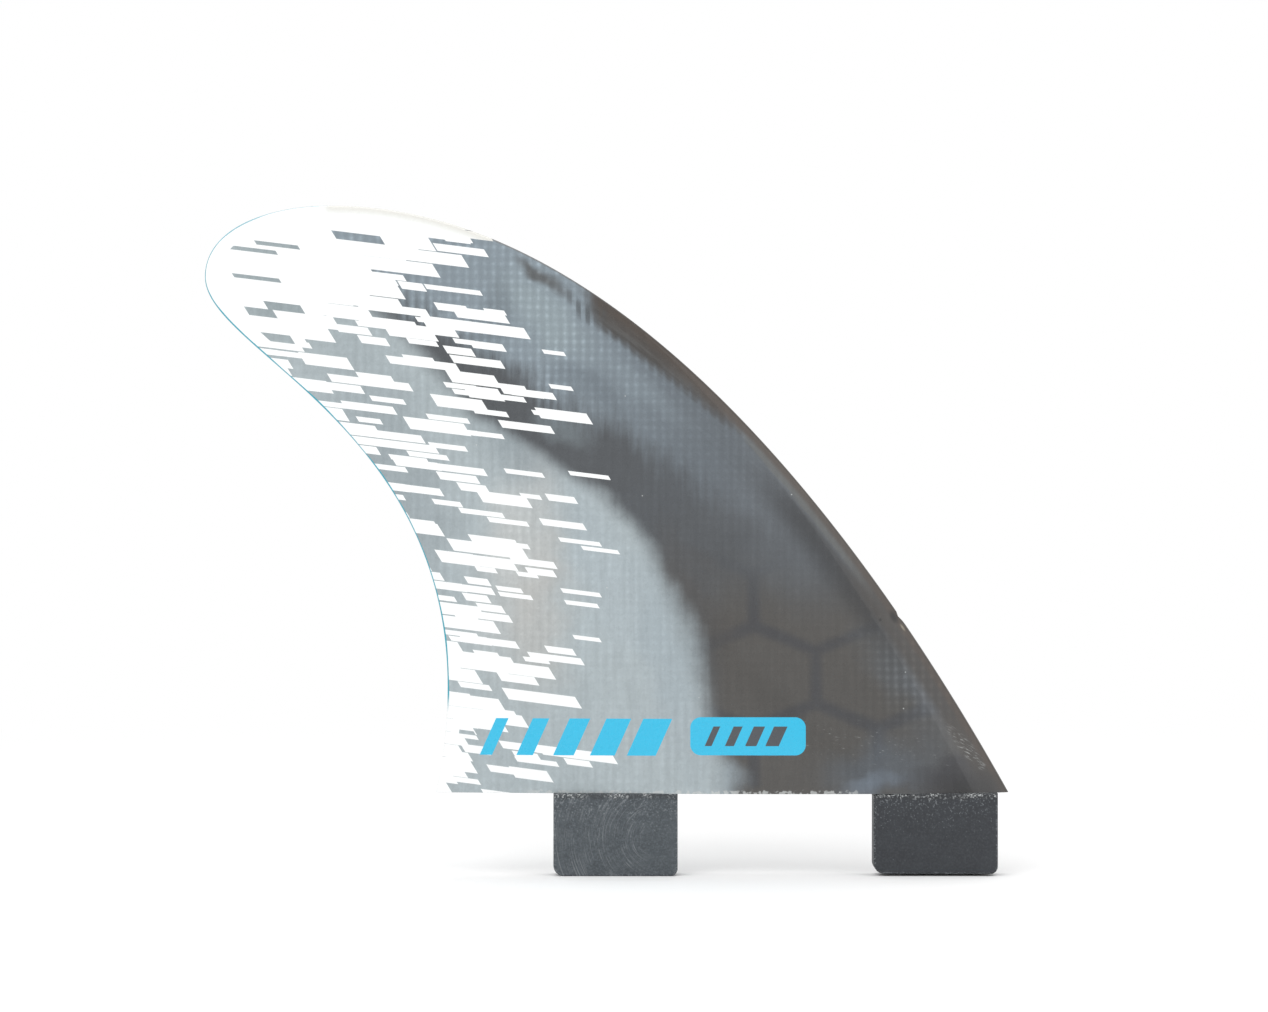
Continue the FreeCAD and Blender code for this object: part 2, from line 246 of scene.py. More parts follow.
# What lies under the blade's skin.
coreShape = {
    "edgeHeights": (0, 13, 30, 44, 54, 61, 68, 78, 90),  # rear limit of the dark core
    "edgePlaces": (-9.5, -12, -16.0, -22.5, -32, -42.5, -55, -63, -74),
    "cellWidth": 22.2,
    "rowPitch": 13.9,
    "cellWall": 9.5,  # length of an upright wall
    "firstCell": (-3.9, 20.8),
    "cellRows": (-1, 7),  # counted from the first cell
    "cellColumns": (-4, 4),
    "patchTop": (-46.0, 94.2, -0.75),  # a point of the upper limit and its slope
    "patchFoot": (-46.0, 74.5, -0.62),
}


def cellWalls(s):
    # each cell gives its two upper walls and the upright one toward the leading edge
    half, wall = s["cellWidth"] / 2, s["cellWall"] / 2
    peak = s["rowPitch"] - wall
    starts, ends = [], []
    for row in range(*s["cellRows"]):
        for column in range(*s["cellColumns"]):
            x = s["firstCell"][0] + (column + row % 2 / 2) * s["cellWidth"]
            z = s["firstCell"][1] + row * s["rowPitch"]
            starts += [(x, z + peak), (x, z + peak), (x + half, z + wall)]
            ends += [(x - half, z + wall), (x + half, z + wall), (x + half, z - wall)]
    return np.array(starts), np.array(ends)


def coreFields(s, points):
    x, z = points[:, 0], points[:, 2]
    topX, topZ, topSlope = s["patchTop"]
    footX, footZ, footSlope = s["patchFoot"]
    topGap = topZ + topSlope * (x - topX) - z
    footGap = z - footZ - footSlope * (x - footX)
    return {
        "coreGap": x - np.interp(z, s["edgeHeights"], s["edgePlaces"]),
        "cellGap": gapToLines(*cellWalls(s), x, z),
        "patchTopGap": topGap,
        "patchFootGap": footGap,
    }


points, faces, fields = bladeSurface(bladeShape)
blade = makeMesh("blade", points, faces, {**fields, **coreFields(coreShape, points)})
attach(blade, "root")
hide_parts("fin_moulding")
print("blade", len(blade.data.polygons), "faces")


# The two base tabs.
tabShape = {
    "middles": {"rearTab": -28.6, "frontTab": 28.6},
    "depths": {"rearTab": 14.7, "frontTab": 14.3},
    "length": 22.2,
    "thickness": 5.6,
    "heelRadius": 1.9,  # lower corner on the trailing side
    "toeRadius": 1.3,
    "sideRound": 0.4,
    "rise": 0.08,  # the tab runs up into the blade by this much
    "leastRadius": 0.05,  # no ring has a sharper lower corner
    "cheekInsets": (5.5, 3.0, 1.6, 0.9),  # rings that cross the flat cheeks
    "arcPoints": 9,
    "sidePoints": 7,  # between two corners
    "roundPoints": 6,
}


def tabSurface(s, name):
    # A rounded rectangle, carried through the thickness. Each ring is the outline drawn in by
    # some inset: a quarter circle of insets rounds the sides, and the largest cross the cheeks.
    low, high = -s["depths"][name], s["rise"]
    back = s["middles"][name] - s["length"] / 2
    front = back + s["length"]
    turn = np.linspace(0, math.pi / 2, s["arcPoints"])
    side = np.linspace(0, 1, s["sidePoints"] + 2)[1:-1]

    def outline(inset):
        heel, toe = (max(s[key] - inset, s["leastRadius"]) for key in ("heelRadius", "toeRadius"))
        x0, x1, z0, z1 = back + inset, front - inset, low + inset, high - inset
        heelArc = np.stack([x0 + heel - heel * np.cos(turn), z0 + heel - heel * np.sin(turn)], 1)
        toeArc = np.stack([x1 - toe + toe * np.sin(turn), z0 + toe - toe * np.cos(turn)], 1)
        foot = np.stack([x0 + heel + side * (x1 - toe - x0 - heel), np.full_like(side, z0)], 1)
        rise = np.stack([np.full_like(side, x1), z0 + toe + side * (z1 - z0 - toe)], 1)
        roof = np.stack([x1 + side * (x0 - x1), np.full_like(side, z1)], 1)
        fall = np.stack([np.full_like(side, x0), z1 + side * (z0 + heel - z1)], 1)
        return np.vstack([heelArc, foot, toeArc, rise, [[x1, z1]], roof, [[x0, z1]], fall])

    quarter = np.linspace(0, math.pi / 2, s["roundPoints"])
    insets = s["sideRound"] * (1 - np.sin(quarter))
    levels = s["thickness"] / 2 - s["sideRound"] * (1 - np.cos(quarter))
    insets = np.concatenate([s["cheekInsets"], insets])
    levels = np.concatenate([np.full(len(s["cheekInsets"]), s["thickness"] / 2), levels])
    insets = np.concatenate([insets, insets[::-1]])
    levels = np.concatenate([-levels, levels[::-1]])
    rings = [outline(inset) for inset in insets]
    count = len(rings[0])
    points = np.vstack([np.insert(ring, 1, level, axis=1) for ring, level in zip(rings, levels)])
    grid = np.arange(len(points)).reshape(-1, count)
    ahead = np.roll(grid, -1, 1)
    faces = np.stack([grid[:-1], grid[1:], ahead[1:], ahead[:-1]], -1).reshape(-1, 4).tolist()
    faces += [grid[0].tolist(), grid[-1, ::-1].tolist()]
    return points, faces, {"edgeGap": np.repeat(insets, count)}


tabs = []
for name in tabShape["middles"]:
    points, faces, fields = tabSurface(tabShape, name)
    tab = makeMesh(name, points, faces, fields)
    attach(tab, "root")
    tabs.append(tab)
print("tabs", [len(tab.data.polygons) for tab in tabs], "faces")


# Colours of the cast laminate, and where each soft field of colour lies. The gloss on top adds its
# own light, so these are a little deeper than what is seen. A wash is a colour, the middle of an
# ellipse, its half width and half height, its lean in degrees and its strength; a spot is a wash
# without a colour. All places are in millimetres.
bladeLook = {
    "clear": "#aeb9bd",  # glass cloth in clear resin, white paper behind it
    "core": "#4d5155",  # where the dark core mat lies under the cloth
    "cell": "#4e4c49",
    "wall": "#393b40",
    "rearWashes": [
        ("#c2c5c4", (-46, 42), (9, 26), 12, 0.8),
        ("#bcb9b4", (-42, 30), (8, 18), 5, 0.5),
        ("#8e999f", (-68, 57), (11, 28), -20, 0.5),
        ("#b0bcc2", (-31, 40), (8, 22), -25, 0.6),
        ("#a2afb6", (-19, 24), (6, 26), -12, 0.6),
        ("#8b969c", (-44, 62), (16, 6), 25, 0.6),
        ("#929ea2", (-84, 92), (22, 14), 0, 0.7),
    ],
    "frontWashes": [
        ("#5a5f64", (3, 50), (14, 22), -35, 0.8),
        ("#565b5f", (22, 22), (7, 12), -25, 0.7),
        ("#535a61", (20, 5), (15, 7), -8, 0.8),
        ("#8a969e", (-12, 1), (7, 5), 0, 0.8),
        ("#50555a", (-16, 57), (20, 8), -30, 0.6),
        ("#737d82", (-38, 64.5), (7, 3), 30, 0.7),
        ("#4a4744", (-14, 34), (5, 16), -25, 0.6),
        ("#5b6066", (26, 16), (4, 8), -32, 0.5),
        ("#6d7884", (18, 1.5), (8, 2.6), -14, 0.7),
        ("#34353a", (32, 3), (11, 4.2), -10, 0.8),
    ],
    "patch": "#8b98a1",
    "patchDeep": "#6e7982",
    "patchWashes": [
        ("#98a6ac", (-41, 85), (13, 6), 40, 0.8),
        ("#8f9da6", (-24, 73), (13, 3.5), 38, 0.6),
        ("#6b767d", (-50, 84), (3.5, 12), 10, 0.5),
        ("#5d676f", (-34, 72), (10, 3), 35, 0.4),
    ],
    "leadBand": "#413e3b",
    "leadHaze": "#52514f",
    "leadBrown": "#453c35",
    "smudge": ("#4a4947", (-41.0, 92.0), (6, 1.8), 33, 0.8),
    "threadEnds": ("#4c5256", (-34.5, 88.0), (5, 1.7), 36, 0.7),
    "stripe": "#2d2e30",
    # painted highlight: a lighter strip where the leading edge rounds over
    "facet": "#585a59",
    "facetLow": "#3b3733",
    "rimBrown": "#463c34",
    "footShade": ("#232427", (35.0, 0.5), (8.0, 4.6), 0, 0.8),
    "edge": "#3a342e",
    "nicks": [
        ("#0b0908", (21.3, 31.5), (0.8, 1.6), -30, 1.0),
        ("#0b0908", (18.8, 31.0), (0.35, 0.35), 0, 1.0),
        ("#8a8272", (22.9, 29.6), (0.25, 0.9), -35, 0.8),
        ("#d8d2c0", (13.0, 45.3), (0.3, 0.3), 0, 0.5),
    ],
    "scuff": "#c4c7c6",
    "scratchSpot": ((34.2, 8.1), (1.3, 6.0), -41, 0.75),
    "rubSpot": ((14, 9), (24, 5), 6, 0.35),
    "ply": "#4f5356",
    "plyPale": "#868c90",
    "soleTop": 0.02,  # the sole's colours reach up to here
    "partingPlane": (1.6, 0.0109),  # height of the mould's parting plane and its fall up the blade
    "noises": {  # the same all ways
        "cloud": {"Scale": 0.09, "Detail": 3.0},
        "uneven": {"Scale": 0.6, "Detail": 5.0, "Roughness": 0.65},
        "grain": {"Scale": 2.2, "Detail": 3.0},
        "torn": {"Scale": 1.3, "Detail": 4.0},
    },
    "drawnNoises": {  # each drawn out: its lean in degrees, its grain's length and width, its detail
        "streak": (0, 0.91, 11.1, 3.0),
        "sanded": (40, 7.0, 0.7, 4.0),
        "hairs": (38, 9.0, 0.24, 4.0),
        "scratches": (30, 1.7, 0.16, 4.0),
        "rubs": (10, 1.2, 0.2, 4.0),
    },
    "plyGrain": (0, 22.0, 0.3, 4.0),
    "dustScale": 0.3,
    "warp": 6.0,  # how far the cloud pushes the washes
    "haze": {"streak": 0.34, "cloud": 0.2, "uneven": 0.2, "grain": 0.14, "hairs": 0.3},
    "hairSpot": ((-8, 60), (26, 11), 38, 1.0),  # where the hairs show
    # the cloth: its threads, how they add up to a weave, and how strongly the weave shows
    "threadPitch": {"X": 1.6, "Z": 1.54},
    "thread": {"Distortion": 1.8, "Detail": 3.0, "Detail Scale": 0.5},
    "threadPower": 1.7,
    "weave": {"dots": 0.8, "upright": 0.6, "level": 0.3, "middle": 0.42},  # middle: near its mean height
    "weaveShows": {"patch": 0.17, "all": 0.05},
    "weaveVaries": {"uneven": (0.1, 1.7), "cloud": (0.5, 1.5)},
    "weaveSpot": ((24.0, 20.0), (8.0, 12.5), -35, 0.32),  # and where it shows strongly
    "gloss": (0.22, 0.34),
    # Where each layer shows: the most it does, then its limits. A limit is what is measured, where
    # the layer starts, where it is full, and the noises that push its border about.
    "shares": {
        "core": (1.0, ("coreGap", -3.2, 3.6, ("streak", 2.6), ("cloud", 8.0))),
        "cells": (1.0, ("x", -15.0, -8.0), ("z", 46.0, 30.0)),
        "wall": (0.75, ("cellGap", 1.9, 0.2, ("cloud", 1.2))),
        "band": (
            1.0,
            ("patchTopGap", 1.2, -2.2, ("sanded", 1.8), ("cloud", 5.0), ("threadX", 0.5)),
            ("x", -35.0, -30.5, ("streak", 4.0))),
        "patch": (
            0.95,
            ("patchFootGap", -3.5, 5.0, ("streak", 8.0), ("cloud", 12.0)), ("x", 10.0, -42.0)),
        "patchDeep": (1.0, ("x", -42.0, -10.0, ("streak", 24.0))),
        "leadHaze": (1.0, ("sanded", 0.35, 0.65)),
        "leadBrown": (0.7, ("leadGap", 3.5, 1.0)),
        "ahead": (0.95, ("x", 14.0, -6.0)),
        "betweenThreads": (1.0, ("threadX", 0.5, 0.15)),
        "stripe": (
            0.75,
            ("leadGap", 9.0, 4.0), ("leadGap", 1.8, 3.2), ("z", 62.0, 48.0), ("z", 16.0, 34.0)),
        # painted highlight along the rounded leading edge, within about 2 mm of it
        "facet": (0.85, ("leadGap", 2.6, 2.0, ("sanded", 0.8)), ("z", 67.0, 60.0), ("z", 30.0, 44.0)),
        "facetLow": (0.85, ("leadGap", 4.6, 2.8), ("z", 44.0, 32.0)),
        "rimBrown": (0.85, ("leadGap", 1.8, 0.8), ("z", 92.0, 84.0)),
        "edge": (0.7, ("leadGap", 0.4, 0.15)),
        "scratched": (1.0, ("scratches", 0.55, 0.64)),
        "rubbed": (1.0, ("rubs", 0.64, 0.7)),
        "flash": (
            0.6,
            ("z", 0.55, 0.2, ("torn", -2.2)), ("torn", 0.44, 0.54), ("x", -46, -42), ("x", 18, 12)),
        "specks": (0.7, ("dustGap", 0.045, 0.025), ("dustChance", 0.72, 0.75)),
        "plies": (1.0, ("plies", 0.4, 0.6)),
    },
}

# The print is a generic one: dashes with leaning ends, solid at the tip and thinning out forward.
# Each row is its height, the length of a dash, its density and how fast that falls off.
printLook = {
    "white": "#f5f7f7",
    # painted reflection: the white turns this warm grey on the tip's top bevel
    "cream": "#dddcd6",
    "blue": "#29b9e0",
    "blueEdge": "#129aae",
    "barInk": "#474b50",
    "tilt": 7.0,  # degrees that the rows fall toward the front
    "lean": 0.8,
    "rows": [
        (2.3, 10.0, 1.35, 2.0),
        (1.5, 7.0, 0.55, 1.3),
        (1.0, 6.0, 0.3, 1.0),
    ],
    "gapRows": [
        (1.4, 8.0, 0.05, 6.0),
        (0.7, 9.0, 0.05, 6.0),
    ],
    "gapsKeepOff": 2.5,  # from the rear edge
    "draws": {"start": 0.37, "row": 7.1, "shift": 97.0, "dash": 3.3},  # these set the random numbers apart
    "rowFill": 0.33,  # half the share of a row that a dash fills, where the print is thin
    "rowGain": 0.21,
    "spans": (0.6, 0.8),  # shortest dash and how much longer some are, in dash lengths
    "climb": (58.0, 86.0),  # over these heights the print draws back toward the tip
    "limit": (-31.0, -50.0),  # its front limit, below and above
    "fade": (46.0, 36.0),  # millimetres from the first dashes to solid white
    "most": 0.56,  # it stops short of solid, but at the tip and the foot
    "foot": (27.0, 13.0),
    "footGain": 1.5,
    "clumpScale": 0.11,
    "clump": (0.45, 1.35),  # thinner and thicker places
    "tipLine": (85.9, -72.0, 1.12),  # where the tip's solid white begins: a point and its slope
    "tipFade": 16.0,
    "throughBlade": 0.7,  # how strongly the print shows from the flat face
    "label": {"middle": (-4.95, 10.3), "half": (10.3, 3.4), "radius": 1.9},
    "blocks": {"start": -51.5, "middle": 10.1, "half": 3.3, "pitch": 6.6, "count": 5, "lean": 0.45},
    "bars": {"start": -11.9, "middle": 10.3, "half": 1.75, "pitch": 3.6, "count": 4, "lean": 0.45},
    "blockWidth": (0.34, 0.11),  # share of the pitch: the first block, and each next one's gain
    "shares": {
        # painted reflection on the tip's top bevel, close to the leading edge
        "yellowed": (1.0, ("leadGap", 2.2, 0.2), ("z", 96.0, 99.0)),
        "rearLine": (
            1.0,
            ("rearGap", 0.32, 0.18, ("cloud", -0.5)), ("leadGap", 0.0, 3.2),
            ("z", 14.0, 18.0), ("z", 124.0, 92.0)),
    },
}

smooth = {"interpolation_type": "SMOOTHSTEP"}
plus, minus, times, shared = ({"operation": name} for name in ("ADD", "SUBTRACT", "MULTIPLY", "DIVIDE"))
timesPlus, below, atMost, atLeast = (
    {"operation": name} for name in ("MULTIPLY_ADD", "LESS_THAN", "MINIMUM", "MAXIMUM"))
toPower, whole, fraction, unsigned, distance = (
    {"operation": name} for name in ("POWER", "FLOOR", "FRACT", "ABSOLUTE", "LENGTH"))
noiseSpan = (0.3, 0.7)  # most of a noise lies between these
spotSpan = (1.15, 0.2)  # where a spot starts and where it is full, in shares of its reach
waveTurn = 0.314159  # at scale 1 a wave texture makes a turn in this length


def shareOf(add, at, look, name):
    # Full where each measure is past its second limit, nothing where one is short of its first.
    # A noise pushes its measure about by its reach, so that the border breaks up.
    share, *limits = look["shares"][name]
    for measure, first, second, *pushes in limits:
        value = at[measure]
        for noise, reach in pushes:
            value = add("Math", timesPlus, [at[noise], reach, value])[0]
            first, second = first + reach / 2, second + reach / 2
        step = add("MapRange", smooth, [value, first, second])[0]
        share = add("Math", times, [share, step])[0]
    return share


def spotShare(add, place, middle, reach, lean, strength):
    # a soft ellipse: its strength round the middle, nothing a little past its reach
    spot = add("Mapping", {"vector_type": "TEXTURE"}, {
        "Vector": place, "Location": (middle[0], 0, middle[1]),
        "Rotation": (0, math.radians(lean), 0), "Scale": (reach[0], 1, reach[1])})[0]
    away = add("VectorMath", distance, [spot])["Value"]
    step = add("MapRange", smooth, [away, *spotSpan])[0]
    return add("Math", times, [strength, step])[0]


def drawnNoise(add, place, lean, length, width, detail):
    # noise drawn out along a line that leans from the X axis
    drawn = add("Mapping", {"vector_type": "TEXTURE"}, {
        "Vector": place, "Rotation": (0, math.radians(lean), 0), "Scale": (length, 1, width)})[0]
    return add("TexNoise", {}, {"Vector": drawn, "Scale": 1.0, "Detail": detail})["Fac"]


def layered(add, tint, layers):
    # each layer is the share of it that shows and its colour, the lowest one first
    for share, colour in layers:
        colour = toLinear(colour) if isinstance(colour, str) else colour
        tint = add("Mix", {"data_type": "RGBA"}, {0: share, 6: tint, 7: colour})[2]
    return tint


def washes(add, place, spots):
    return [(spotShare(add, place, *where), colour) for colour, *where in spots]


def bladePlaces(add, look):
    # what the layers are placed by, in millimetres, and the noises they share
    body = add("TexCoord", {}, [])["Object"]
    flat = add("Mapping", {}, {"Vector": body, "Scale": (inMillimetres, 0, inMillimetres)})[0]
    x, _, z = add("SeparateXYZ", {}, [flat])
    at = {"body": body, "flat": flat, "x": x, "z": z}
    for name in ("coreGap", "cellGap", "patchTopGap", "patchFootGap", "leadGap", "rearGap"):
        at[name] = add("Attribute", {"attribute_name": name}, [])["Fac"]
    # a slow cloud and finer grains, upright streaks where the threads carry the resin, sanding strokes
    noises = {name: add("TexNoise", {}, {"Vector": flat, **grain}) for name, grain in look["noises"].items()}
    at.update((name, noise["Fac"]) for name, noise in noises.items())
    for name, grain in look["drawnNoises"].items():
        at[name] = drawnNoise(add, flat, *grain)
    # the cloud's colour pushes the washes about, both ways from their place
    push = look["warp"]
    push = [noises["cloud"]["Color"], (2 * push, 0, 2 * push), (-push, 0, -push)]
    at["warped"] = add("VectorMath", plus, [flat, add("VectorMath", timesPlus, push)[0]])[0]
    # the cloth's threads, upright and level
    for way, pitch in look["threadPitch"].items():
        wave = add("TexWave", {"bands_direction": way}, {
            "Vector": flat, "Scale": waveTurn / pitch, **look["thread"]})
        at["thread" + way] = add("Math", toPower, [wave["Fac"], look["threadPower"]])[0]
    return at


def coreLayers(add, at, look):
    # the dark core mat under the cloth: its cells at the front, then soft fields of colour
    wall, seen, covered = (shareOf(add, at, look, name) for name in ("wall", "cells", "core"))
    cells = layered(add, toLinear(look["cell"]), [(wall, look["wall"])])
    dark = [(seen, cells)] + washes(add, at["warped"], look["frontWashes"])
    return [(covered, layered(add, toLinear(look["core"]), dark))]


def patchLayers(add, at, look):
    # the second layer of cloth, bluish, and the brown band between it and the leading edge
    band, patch, deeper = (shareOf(add, at, look, name) for name in ("band", "patch", "patchDeep"))
    patch = add("Math", {"operation": "SUBTRACT", "use_clamp": True}, [patch, band])[0]
    at["patch"] = patch
    cloth = [(deeper, look["patchDeep"])] + washes(add, at["warped"], look["patchWashes"])
    brown = [(shareOf(add, at, look, name), look[name]) for name in ("leadHaze", "leadBrown")]
    ahead = add("Math", times, [band, shareOf(add, at, look, "ahead")])[0]
    # dark marks near the edge where the threads of the patch end
    colour, *where = look["threadEnds"]
    ends = [spotShare(add, at["warped"], *where), shareOf(add, at, look, "betweenThreads")]
    return [
        (patch, layered(add, toLinear(look["patch"]), cloth)),
        (ahead, layered(add, toLinear(look["leadBand"]), brown)),
        (add("Math", times, ends)[0], colour),
    ] + washes(add, at["warped"], [look["smudge"]])


def leadLayers(add, at, look):
    # along the leading edge: a dark stripe, a painted highlight outside it on the rounded edge, the brown
    # rim
    names = ("stripe", "facet", "facetLow", "rimBrown", "edge")
    layers = [(shareOf(add, at, look, name), look[name]) for name in names]
    return layers + washes(add, at["flat"], [look["footShade"]])


def weaveRelief(add, at, weave):
    # plain weave: a bright dot where two threads cross, on fainter threads both ways
    dots = add("Math", times, [at["threadX"], at["threadZ"]])[0]
    upright = add("Math", times, [at["threadX"], weave["upright"]])[0]
    both = add("Math", timesPlus, [dots, weave["dots"], upright])[0]
    return add("Math", timesPlus, [at["threadZ"], weave["level"], both])[0]


def clothLevel(add, at, look, relief):
    # how light the cloth is: its weave, strongest in the patch and low at the front, and hazes
    shows = look["weaveShows"]
    amount = add("Math", timesPlus, [at["patch"], shows["patch"], shows["all"]])[0]
    for name, ends in look["weaveVaries"].items():
        varied = add("MapRange", {}, [at[name], *noiseSpan, *ends])[0]
        amount = add("Math", times, [amount, varied])[0]
    amount = add("Math", plus, [amount, spotShare(add, at["flat"], *look["weaveSpot"])])[0]
    middling = add("Math", minus, [relief, look["weave"]["middle"]])[0]
    level = add("Math", timesPlus, [middling, amount, 1.0])[0]
    there = spotShare(add, at["flat"], *look["hairSpot"])
    noises = {**at, "hairs": add("Math", times, [at["hairs"], there])[0]}
    for name, reach in look["haze"].items():
        haze = add("Math", timesPlus, [noises[name], reach, 1 - reach / 2])[0]
        level = add("Math", times, [level, haze])[0]
    return level


def markLayers(add, at, look):
    # nicks, scuffs low at the front, flash along the base line and dust under the gloss
    dust = add("TexVoronoi", {}, {"Vector": at["flat"], "Scale": look["dustScale"]})
    chance = add("SeparateXYZ", {}, [dust["Color"]])[0]
    at = {**at, "dustGap": dust["Distance"], "dustChance": chance}
    marks = []
    for name, spot in (("scratched", "scratchSpot"), ("rubbed", "rubSpot")):
        mark = [shareOf(add, at, look, name), spotShare(add, at["flat"], *look[spot])]
        marks.append(add("Math", times, mark)[0])
    marks += [shareOf(add, at, look, name) for name in ("flash", "specks")]
    return washes(add, at["flat"], look["nicks"]) + [(mark, look["scuff"]) for mark in marks]


def inkShare(add, u, v, look):
    # how much of the blade the print covers at a place: none ahead of its front limit, rising to
    # a half or so behind it, and all at the tip and the foot
    eased = []
    for ends, low, high in (
            (look["climb"], *look["limit"]), (look["climb"], *look["fade"]),
            (look["foot"], 1.0, look["footGain"]), (look["foot"], look["most"], 1.0)):
        eased.append(add("MapRange", smooth, [v, *ends, low, high])[0])
    limit, fade, gain, most = eased
    place = add("CombineXYZ", {}, [u, v])[0]
    clump = add("TexNoise", {}, {"Vector": place, "Scale": look["clumpScale"], "Detail": 1.0})["Fac"]
    clump = add("MapRange", {}, [clump, *noiseSpan, *look["clump"]])[0]
    share = add("Math", minus, [limit, u])[0]
    share = add("Math", shared, [share, fade])[0]
    share = add("Math", times, [share, gain])[0]
    share = add("Math", times, [share, clump])[0]
    share = add("Math", atMost, [share, most])[0]
    tipV, tipU, slope = look["tipLine"]
    solid = add("Math", timesPlus, [v, slope, tipU - slope * tipV])[0]
    solid = add("Math", minus, [solid, u])[0]
    solid = add("Math", timesPlus, [solid, 1 / look["tipFade"], 0.5])[0]
    return add("Math", {"operation": "MAXIMUM", "use_clamp": True}, [share, solid])[0]


def dashRows(add, u, v, row, seed, look):
    # One family of rows. A dash is printed where its own random number is below the ink share
    # at its middle, so no dash is cut by the fade.
    height, length, density, fall = row
    draws = look["draws"]
    start = seed * draws["start"]
    step = add("Math", timesPlus, [v, 1 / height, start])[0]
    number = add("Math", whole, [step])[0]
    inRow = add("Math", fraction, [step])[0]
    tag = add("CombineXYZ", {}, [number, seed * draws["row"]])[0]
    dice = add("SeparateXYZ", {}, [add("TexWhiteNoise", {"noise_dimensions": "3D"}, [tag])["Color"]])
    span = add("Math", timesPlus, [dice[1], look["spans"][1] * length, look["spans"][0] * length])[0]
    shift = add("Math", times, [dice[0], draws["shift"]])[0]
    place = add("Math", timesPlus, [inRow, look["lean"] * height, u])[0]
    place = add("Math", plus, [place, shift])[0]
    cell = add("Math", whole, [add("Math", shared, [place, span])[0]])[0]
    middle = add("Math", times, [add("Math", plus, [cell, 0.5])[0], span])[0]
    middle = add("Math", minus, [middle, shift])[0]
    level = add("Math", timesPlus, [number, height, (0.5 - start) * height])[0]
    share = inkShare(add, middle, level, look)
    ink = add("Math", toPower, [share, fall])[0]
    ink = add("Math", times, [ink, density])[0]
    tag = add("CombineXYZ", {}, [cell, number, seed * draws["dash"]])[0]
    draw = add("TexWhiteNoise", {"noise_dimensions": "3D"}, [tag])["Value"]
    away = add("Math", unsigned, [add("Math", minus, [inRow, 0.5])[0]])[0]
    reach = add("Math", timesPlus, [share, look["rowGain"], look["rowFill"]])[0]
    filled = add("Math", below, [away, reach])[0]
    return add("Math", times, [add("Math", below, [draw, ink])[0], filled])[0]


def dashInk(add, at, look):
    # the rows laid over each other, less the few gaps that keep clear of the rear edge
    turned = add("Mapping", {}, {"Vector": at["flat"], "Rotation": (0, -math.radians(look["tilt"]), 0)})[0]
    u, _, v = add("SeparateXYZ", {}, [turned])
    ink, gaps = 0.0, 0.0
    for seed, row in enumerate(look["rows"], 1):
        ink = add("Math", atLeast, [ink, dashRows(add, u, v, row, seed, look)])[0]
    for seed, row in enumerate(look["gapRows"], len(look["rows"]) + 1):
        gaps = add("Math", atLeast, [gaps, dashRows(add, u, v, row, seed, look)])[0]
    inside = add("Math", below, [look["gapsKeepOff"], at["rearGap"]])[0]
    gaps = add("Math", times, [gaps, inside])[0]
    return add("Math", {"operation": "SUBTRACT", "use_clamp": True}, [ink, gaps])[0]


def labelInk(add, flat, s):
    # rounded rectangle: the way out of its inner rectangle, held below the corner radius
    inner = [half - s["radius"] for half in s["half"]]
    offset = add("VectorMath", minus, [flat, (s["middle"][0], 0, s["middle"][1])])[0]
    offset = add("VectorMath", unsigned, [offset])[0]
    offset = add("VectorMath", minus, [offset, (inner[0], 0, inner[1])])[0]
    offset = add("VectorMath", atLeast, [offset, (0, 0, 0)])[0]
    way = add("VectorMath", distance, [offset])["Value"]
    return add("Math", below, [way, s["radius"]])[0]


def blockInk(add, at, s, width):
    # a row of leaning blocks, each wider than the one behind it
    up = add("Math", minus, [at["z"], s["middle"]])[0]
    place = add("Math", timesPlus, [up, -s["lean"], at["x"]])[0]
    place = add("Math", timesPlus, [place, 1 / s["pitch"], -s["start"] / s["pitch"]])[0]
    number = add("Math", whole, [place])[0]
    inside = add("Math", fraction, [place])[0]
    wide = add("Math", timesPlus, [number, width[1], width[0]])[0]
    ink = add("Math", below, [inside, wide])[0]
    within = add("Math", {"operation": "COMPARE"}, [number, (s["count"] - 1) / 2, s["count"] / 2])[0]
    tall = add("Math", below, [add("Math", unsigned, [up])[0], s["half"]])[0]
    ink = add("Math", times, [ink, within])[0]
    return add("Math", times, [ink, tall])[0]


def printLayers(add, at, look, partingPlane):
    # The print lies on the curved face. Its dashes show through the flat one, and its label, blocks
    # and bars don't. The blue line goes round the rear edge.
    height, fall = (value * mm for value in partingPlane)
    y = add("SeparateXYZ", {}, [at["body"]])[1]
    over = add("Math", timesPlus, [at["z"], fall, y])[0]
    front = add("Math", below, [over, height])[0]
    strength = add("MapRange", {}, [front, 0.0, 1.0, look["throughBlade"], 1.0])[0]
    yellowed, rearLine = (shareOf(add, at, look, name) for name in ("yellowed", "rearLine"))
    # the white is darkened to cream by a painted reflection on the tip's top bevel
    white = layered(add, toLinear(look["white"]), [(yellowed, look["cream"])])
    label = labelInk(add, at["flat"], look["label"])
    blocks, bars = (blockInk(add, at, look[name], look["blockWidth"]) for name in ("blocks", "bars"))
    blue = add("Math", atLeast, [label, blocks])[0]
    return [
        (add("Math", times, [dashInk(add, at, look), strength])[0], white),
        (add("Math", times, [blue, front])[0], look["blue"]),
        (add("Math", times, [bars, front])[0], look["barInk"]),
        (rearLine, look["blueEdge"]),
    ]


def soleLayers(add, at, look):
    # the sawn underside shows the plies edge-on, as fine lines along the chord
    plan = add("Mapping", {}, {
        "Vector": at["body"], "Rotation": (math.radians(90), 0, 0),
        "Scale": (inMillimetres, inMillimetres, 0)})[0]
    plies = shareOf(add, {"plies": drawnNoise(add, plan, *look["plyGrain"])}, look, "plies")
    under = add("Math", below, [at["z"], look["soleTop"]])[0]
    return [(under, layered(add, toLinear(look["ply"]), [(plies, look["plyPale"])]))]


